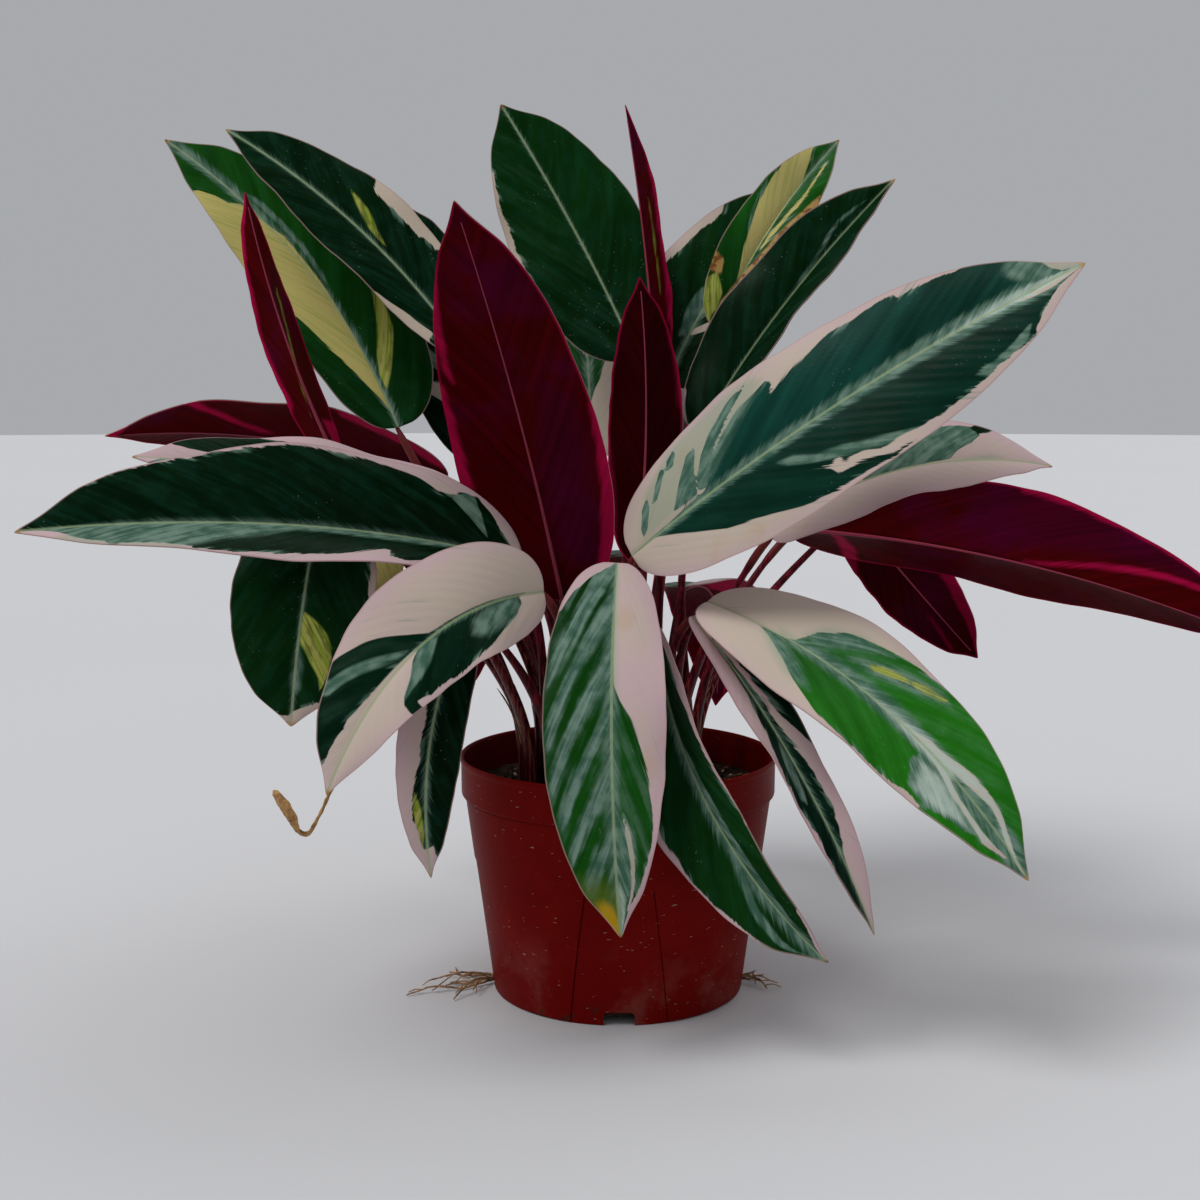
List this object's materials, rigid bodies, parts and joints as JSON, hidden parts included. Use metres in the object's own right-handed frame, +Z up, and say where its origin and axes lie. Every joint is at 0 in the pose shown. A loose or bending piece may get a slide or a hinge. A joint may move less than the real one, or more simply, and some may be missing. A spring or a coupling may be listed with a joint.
{
  "type": "potted plant",
  "caption": "Leafy foliage plant with striped cream, pink and green leaves, wine red beneath, in a tapered plastic nursery pot that rests on its flat foot.",
  "frame": {"origin": "centre of the pot's foot, on the surface it stands on", "axes": "+Z up, -Y towards the viewer of the picture, +X to the viewer's right"},
  "size_m": [0.5103, 0.3337, 0.3991],
  "materials": {
    "leaf": "waxy leaf, striped cream and pink above, wine red beneath",
    "dry_root": "dry fibre",
    "red_plastic": "satin, scuffed",
    "soil": "loose dark peat"
  },
  "bodies": {
    "root": {"leaf_front_centre": "leaf", "leaf_front_right": "leaf", "leaf_right_narrow": "leaf", "leaf_right_low": "leaf", "leaf_left_low": "leaf", "leaf_left_small": "leaf", "leaf_left_hanging": "leaf", "leaf_left_hidden": "leaf", "leaf_left_long": "leaf", "leaf_left_second": "leaf", "leaf_left_wine": "leaf", "leaf_left_upright": "leaf", "leaf_upper_left_cream": "leaf", "leaf_upper_left_green": "leaf", "leaf_upper_left_dark": "leaf", "leaf_centre_wine": "leaf", "leaf_centre_back": "leaf", "leaf_centre_spear": "leaf", "leaf_centre_dark": "leaf", "leaf_right_long": "leaf", "leaf_right_second": "leaf", "leaf_right_wine": "leaf", "leaf_right_wine_low": "leaf", "leaf_upper_right_cream": "leaf", "leaf_upper_right_green": "leaf", "leaf_upper_right_back": "leaf", "leaf_back_right_low": "leaf", "leaf_back_centre_low": "leaf", "leaf_back_left_low": "leaf", "leaf_back_left": "leaf", "leaf_back_right": "leaf", "leaf_back_centre": "leaf", "leaf_back_upper_right": "leaf", "leaf_back_upper_left": "leaf", "roots_left": "dry_root", "roots_right": "dry_root", "pot": "red_plastic", "soil": "soil"}
  },
  "joints": []
}
